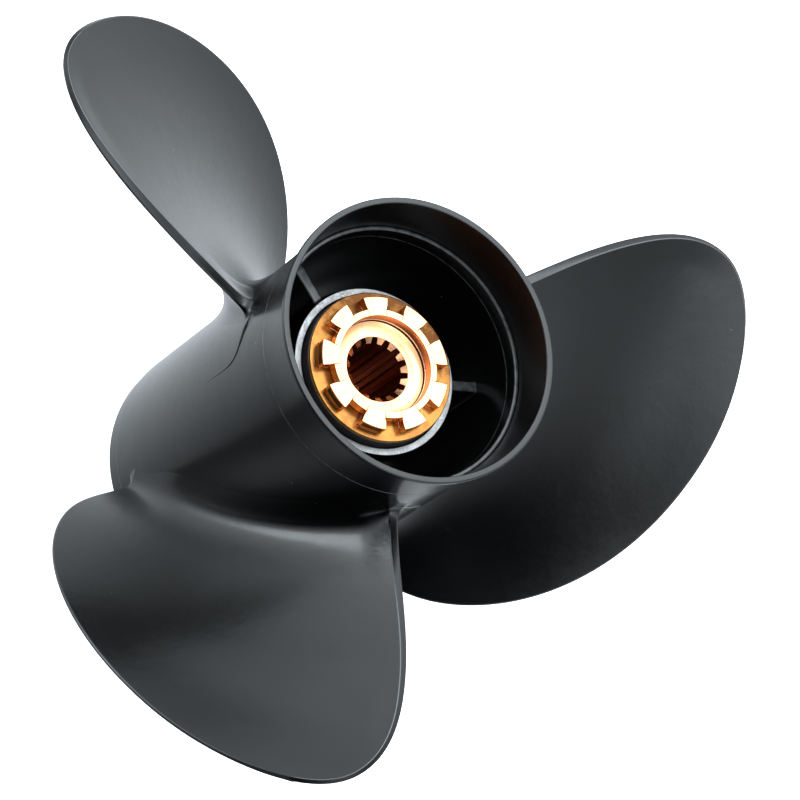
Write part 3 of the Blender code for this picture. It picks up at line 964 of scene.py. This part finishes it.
class Look(Nodes):
    """A material being made, drawn by the place on the propeller."""

    def __init__(self, name, metallic=0.0):
        self.material = bpy.data.materials.new(name)
        self.material.use_nodes = True
        super().__init__(self.material.node_tree, "Object")
        self.shader = self.tree.nodes["Principled BSDF"]
        self.shader.inputs["Metallic"].default_value = metallic

    def stretched(self, x, y, z):
        """The place with each axis stretched."""
        return self.add("ShaderNodeVectorMath", {0: self.place, 1: (x, y, z)}, 0, operation="MULTIPLY")

    def radius(self):
        """Distance from the shaft's axis."""
        flat = self.stretched(1.0, 1.0, 0.0)
        return self.add("ShaderNodeVectorMath", {0: flat}, "Value", operation="LENGTH")

    def height(self):
        return self.add("ShaderNodeSeparateXYZ", {0: self.place}, "Z")

    def noise(self, scale, detail=2.0, roughness=0.5, place=None):
        start = self.place if place is None else place
        inputs = {"Vector": start, "Scale": scale, "Detail": detail, "Roughness": roughness}
        return self.add("ShaderNodeTexNoise", inputs, "Fac")

    def rings(self, scale, detail=3.0):
        """Lathe marks: noise that changes only with the radius."""
        inputs = {"W": self.radius(), "Scale": scale, "Detail": detail}
        return self.add("ShaderNodeTexNoise", inputs, "Fac", noise_dimensions="1D")

    def specks(self, scale, size):
        """1 inside small scattered dots, 0 elsewhere."""
        distance = self.add("ShaderNodeTexVoronoi", {"Vector": self.place, "Scale": scale}, "Distance")
        return self.spread(distance, size, 0.6 * size)

    def scaled(self, value, factor, offset):
        """The value times a factor, plus an offset."""
        return self.calculate("ADD", self.calculate("MULTIPLY", value, factor), offset)

    def spread(self, value, low, high, out_low=0.0, out_high=1.0):
        """Maps a value from one range to another with soft ends."""
        inputs = dict(enumerate((value, low, high, out_low, out_high)))
        return self.add("ShaderNodeMapRange", inputs, "Result", interpolation_type="SMOOTHSTEP")

    def mix(self, share, first, second):
        """Blends two colours."""
        inputs = {"Factor": share}
        for socket, colour in ((6, first), (7, second)):
            inputs[socket] = (*colour, 1.0) if isinstance(colour, tuple) else colour
        return self.add("ShaderNodeMix", inputs, 2, data_type="RGBA")

    def bump(self, height, distance, below=None):
        """Relief of the given depth, over another relief where there is one."""
        inputs = {"Height": height, "Distance": distance}
        if below is not None:
            inputs["Normal"] = below
        return self.add("ShaderNodeBump", inputs, "Normal")

    def done(self, colour, roughness, normal):
        self.feed(self.shader.inputs["Base Color"], colour)
        self.feed(self.shader.inputs["Roughness"], roughness)
        self.feed(self.shader.inputs["Normal"], normal)
        return self.material


PAINT = ((0.0009, 0.0010, 0.0011), (0.0020, 0.0022, 0.0024))
DUST = (0.10, 0.104, 0.108)
# Greys of the painted highlights: on edges, and along lines round the barrel and the ribs
PAINTED_EDGE_GREY = (0.105, 0.110, 0.114)
PAINTED_LINE_GREY = (0.060, 0.062, 0.064)
# Heights and half widths of the painted highlight lines: the ledge inside, the seam and the forward band's
# step
BARREL_HIGHLIGHT_LINES = ((LEDGE_HEIGHT, 0.0008), (BARREL_LENGTH - 0.0002, 0.0005), (FRONT_BAND_HEIGHT, 0.0005))
# Painted highlight line along the ribs' aft edges
RIB_HIGHLIGHT_LINES = ((RIB_AFT, 0.0008),)


def black_paint(name, highlight_heights=()):
    """Satin black enamel over a casting: fine orange peel, faint casting waves, a few dust specks.

    Where the casting has an edge at one of the given heights, a thin grey line is painted along it as a
    highlight, and edges that carry a per-point highlight share are painted grey as a highlight too.
    """
    look = Look(name)
    colour = look.mix(look.spread(look.noise(22.0, 3.0), 0.3, 0.7), *PAINT)
    dust = look.calculate("MULTIPLY", look.specks(116.0, 0.045), look.spread(look.noise(31.0), 0.52, 0.6))
    colour = look.mix(dust, colour, DUST)
    # Painted highlight: edges that carry a per-point highlight share turn grey, standing in for the light
    # their rounds catch
    corner = look.add("ShaderNodeAttribute", {}, "Fac", attribute_name="painted_highlight")
    colour = look.mix(look.spread(corner, 0.1, 1.0), colour, PAINTED_EDGE_GREY)
    # Painted highlight: a thin grey line along each edge at the given heights, broken up by noise
    for height, width in highlight_heights:
        above = look.calculate("SUBTRACT", look.height(), at(height))
        near = look.spread(look.calculate("ABSOLUTE", above), 0.4 * width, width, 1.0, 0.0)
        line_highlight = look.calculate("MULTIPLY", near, look.spread(look.noise(300.0, 3.0), 0.3, 0.6, 0.4, 1.0))
        colour = look.mix(line_highlight, colour, PAINTED_LINE_GREY)
    wear = look.scaled(look.noise(9.0, 4.0, 0.6), 0.10, 0.16)
    roughness = look.calculate("ADD", wear, look.calculate("MULTIPLY", look.noise(420.0), 0.06))
    waves = look.bump(look.noise(55.0), 0.0001)
    mottle = look.bump(look.noise(230.0, 3.0, 0.6, look.stretched(1.0, 0.6, 1.0)), 0.00004, waves)
    peel = look.bump(look.noise(640.0, 2.0, 0.6), 0.00002, mottle)
    return look.done(colour, roughness, peel)


def machined_aluminium():
    """Lathe-cut casting face: fine rings, torn metal where the tool has chattered, dull grey tarnish."""
    look = Look("machined_aluminium", 1.0)
    rings = look.rings(9000.0)
    tears = look.noise(900.0, 5.0, 0.7, look.stretched(1.0, 1.0, 0.3))
    torn = look.spread(tears, 0.50, 0.60)
    tarnish = look.spread(look.noise(70.0, 4.0, 0.6), 0.35, 0.7)
    colour = look.mix(tarnish, (0.36, 0.36, 0.365), (0.50, 0.50, 0.50))
    colour = look.mix(look.calculate("MULTIPLY", torn, 0.45), colour, (0.80, 0.79, 0.78))
    roughness = look.scaled(tears, 0.3, 0.34)
    turned = look.bump(rings, 0.00003)
    return look.done(colour, roughness, look.bump(torn, 0.00006, turned))


def bright_brass():
    """Freshly turned brass: tool rings, hair scratches and a slight warm tarnish."""
    look = Look("bright_brass", 1.0)
    tarnish = look.spread(look.noise(160.0, 4.0, 0.6), 0.4, 0.75)
    colour = look.mix(tarnish, (0.98, 0.48, 0.25), (0.92, 0.41, 0.18))
    scratches = look.noise(260.0, 2.0, 0.5, look.stretched(1.0, 14.0, 1.0))
    scratch = look.spread(scratches, 0.70, 0.74)
    roughness = look.scaled(look.noise(500.0, 3.0), 0.14, 0.17)
    turned = look.bump(look.rings(5200.0), 0.000012)
    return look.done(colour, roughness, look.bump(scratch, 0.00002, turned))


def dull_brass():
    """Washer brass gone brown: painted shade darkening it towards one side, soft patches, fine brushing round
    the shaft.
    """
    look = Look("dull_brass", 1.0)
    # Painted shade: the washer's colour darkens towards one side, standing in for the light falling off there
    tone_shift = look.spread(look.dot((0.6, -0.8, 0.0)), -0.012, 0.024)
    patches = look.spread(look.noise(150.0, 4.0, 0.65), 0.35, 0.7, -0.25, 0.35)
    share = look.calculate("ADD", tone_shift, patches)
    colour = look.mix(share, (0.34, 0.15, 0.038), (0.085, 0.032, 0.011))
    roughness = look.scaled(look.noise(300.0, 3.0), 0.16, 0.16)
    turned = look.bump(look.rings(4000.0), 0.000012)
    return look.done(colour, roughness, look.bump(look.noise(1500.0, 2.0), 0.00001, turned))


def lug_painted_shade():
    """Painted shade on the lugs' outer faces, which stand in shadow: near-black brown, mottled by noise."""
    look = Look("lug_painted_shade")
    # Painted shade: the mottle below only varies the dark brown that stands in for the shadow on these faces
    scale = look.spread(look.noise(420.0, 4.0, 0.65), 0.35, 0.7)
    colour = look.mix(scale, (0.016, 0.007, 0.005), (0.050, 0.022, 0.012))
    roughness = look.scaled(scale, 0.2, 0.35)
    return look.done(colour, roughness, look.bump(scale, 0.00003))


def bore_brass():
    """Broached brass inside the splines: darker, marked along the shaft."""
    look = Look("bore_brass", 1.0)
    marks = look.noise(700.0, 4.0, 0.6, look.stretched(1.0, 1.0, 0.06))
    colour = look.mix(look.spread(marks, 0.35, 0.7), (0.64, 0.25, 0.11), (0.30, 0.10, 0.04))
    roughness = look.scaled(marks, 0.2, 0.2)
    return look.done(colour, roughness, look.bump(marks, 0.00004))


def black_rubber():
    """Moulded rubber: matt, with a fine grain and a dusty bloom."""
    look = Look("black_rubber")
    tone_shift = look.spread(look.noise(90.0, 4.0, 0.6), 0.4, 0.7)
    colour = look.mix(tone_shift, (0.010, 0.010, 0.010), (0.026, 0.024, 0.022))
    roughness = look.scaled(look.noise(250.0), 0.2, 0.6)
    return look.done(colour, roughness, look.bump(look.noise(1400.0, 3.0), 0.00003))


def floor():
    """A plain white floor that shows as clear white, like a lit table."""
    mesh = bpy.data.meshes.new("floor")
    reach = BACKDROP_RADIUS
    corners = ((-reach, -reach), (reach, -reach), (reach, reach), (-reach, reach))
    mesh.from_pydata([(x, y, FLOOR_Z) for x, y in corners], [], [(0, 1, 2, 3)])
    stage_piece("floor", mesh)


def stage_piece(name, mesh):
    """A plain white piece round the propeller that gives no light to it."""
    material = bpy.data.materials.new(f"white_{name}")
    material.use_nodes = True
    shader = material.node_tree.nodes["Principled BSDF"]
    shader.inputs["Base Color"].default_value = (0.9, 0.9, 0.9, 1.0)
    shader.inputs["Roughness"].default_value = 1.0
    shader.inputs["Emission Color"].default_value = (1.0, 1.0, 1.0, 1.0)
    shader.inputs["Emission Strength"].default_value = 1.0
    mesh.materials.append(material)
    piece = bpy.data.objects.new(name, mesh)
    piece.visible_diffuse = False
    piece.visible_glossy = False
    piece.visible_shadow = False
    bpy.context.scene.collection.objects.link(piece)


def backdrop():
    """A white dome far behind everything, seen only by the camera."""
    shape = bmesh.new()
    bmesh.ops.create_uvsphere(shape, u_segments=48, v_segments=24, radius=BACKDROP_RADIUS)
    mesh = bpy.data.meshes.new("backdrop")
    shape.to_mesh(mesh)
    shape.free()
    stage_piece("backdrop", mesh)


def view_axes():
    """Right, up and forward of the camera in the frame."""
    forward = Vector((0.0, -math.sin(VIEW_TILT), -math.cos(VIEW_TILT)))
    level_right = Vector((-1.0, 0.0, 0.0))
    level_up = level_right.cross(forward)
    right = level_right * math.cos(VIEW_ROLL) + level_up * math.sin(VIEW_ROLL)
    return right, right.cross(forward), forward


def camera():
    right, up, forward = view_axes()
    rim_centre = Vector((0.0, 0.0, at(RIM_HEIGHT)))
    place = rim_centre - right * RIM_CENTRE_RIGHT - up * RIM_CENTRE_UP - forward * VIEW_DISTANCE
    data = bpy.data.cameras.new("camera")
    data.lens = LENS
    data.sensor_width = SENSOR_WIDTH
    data.clip_start = CLIP_START
    data.clip_end = CLIP_END
    eye = bpy.data.objects.new("camera", data)
    turn = Matrix((right, up, -forward)).transposed().to_4x4()
    eye.matrix_world = Matrix.Translation(place) @ turn
    bpy.context.scene.collection.objects.link(eye)
    bpy.context.scene.camera = eye


def direction(azimuth, elevation):
    """Unit vector from the hub towards a direction given in degrees."""
    turn = math.radians(azimuth)
    rise = math.radians(elevation)
    return Vector((math.cos(rise) * math.cos(turn), math.cos(rise) * math.sin(turn), math.sin(rise)))


def softbox(name, azimuth, elevation, width, height, power):
    """A rectangular light that faces the hub. Only its light is seen."""
    data = bpy.data.lights.new(name, "AREA")
    data.shape = "RECTANGLE"
    data.size = width
    data.size_y = height
    data.energy = power
    data.color = SWEEP_TINT
    light = bpy.data.objects.new(name, data)
    way = direction(azimuth, elevation)
    across = Vector((-way.y, way.x, 0.0)).normalized()
    axes = Matrix((across, way.cross(across), way)).transposed().to_4x4()
    light.matrix_world = Matrix.Translation(way * SOFTBOX_DISTANCE) @ axes
    light.visible_camera = False
    bpy.context.scene.collection.objects.link(light)


def studio():
    """The world as a soft studio: the sweep with each glow and shade added."""
    world = bpy.data.worlds.new("studio")
    world.use_nodes = True
    nodes = Nodes(world.node_tree, "Generated")
    level = SWEEP_LEVEL
    for azimuth, elevation, width, strength in GLOWS.values():
        near = nodes.calculate("SUBTRACT", nodes.dot(direction(azimuth, elevation)), 1.0)
        falloff = nodes.calculate("EXPONENT", nodes.calculate("DIVIDE", near, math.radians(width) ** 2))
        level = nodes.calculate("ADD", nodes.calculate("MULTIPLY", falloff, strength), level)
    background = world.node_tree.nodes["Background"]
    background.inputs["Color"].default_value = (*SWEEP_TINT, 1.0)
    nodes.feed(background.inputs["Strength"], nodes.calculate("MAXIMUM", level, 0.0))
    bpy.context.scene.world = world


def main():
    camera()
    studio()
    for name, panel in SOFTBOXES.items():
        softbox(name, *panel)
    floor()
    backdrop()
    paint = black_paint("satin_black_paint")
    bright = bright_brass()
    hub_barrel(black_paint("barrel_paint", BARREL_HIGHLIGHT_LINES))
    diffuser_ring(paint)
    inner_hub(paint, machined_aluminium())
    ribs(black_paint("rib_paint", RIB_HIGHLIGHT_LINES))
    blades(paint)
    ridges(paint)
    rubber_bushing(black_rubber())
    flange_washer(dull_brass(), bright)
    castellated_ring(bright, lug_painted_shade())
    splined_sleeve(bright, bore_brass())
    bpy.context.scene.view_settings.view_transform = "Standard"


main()
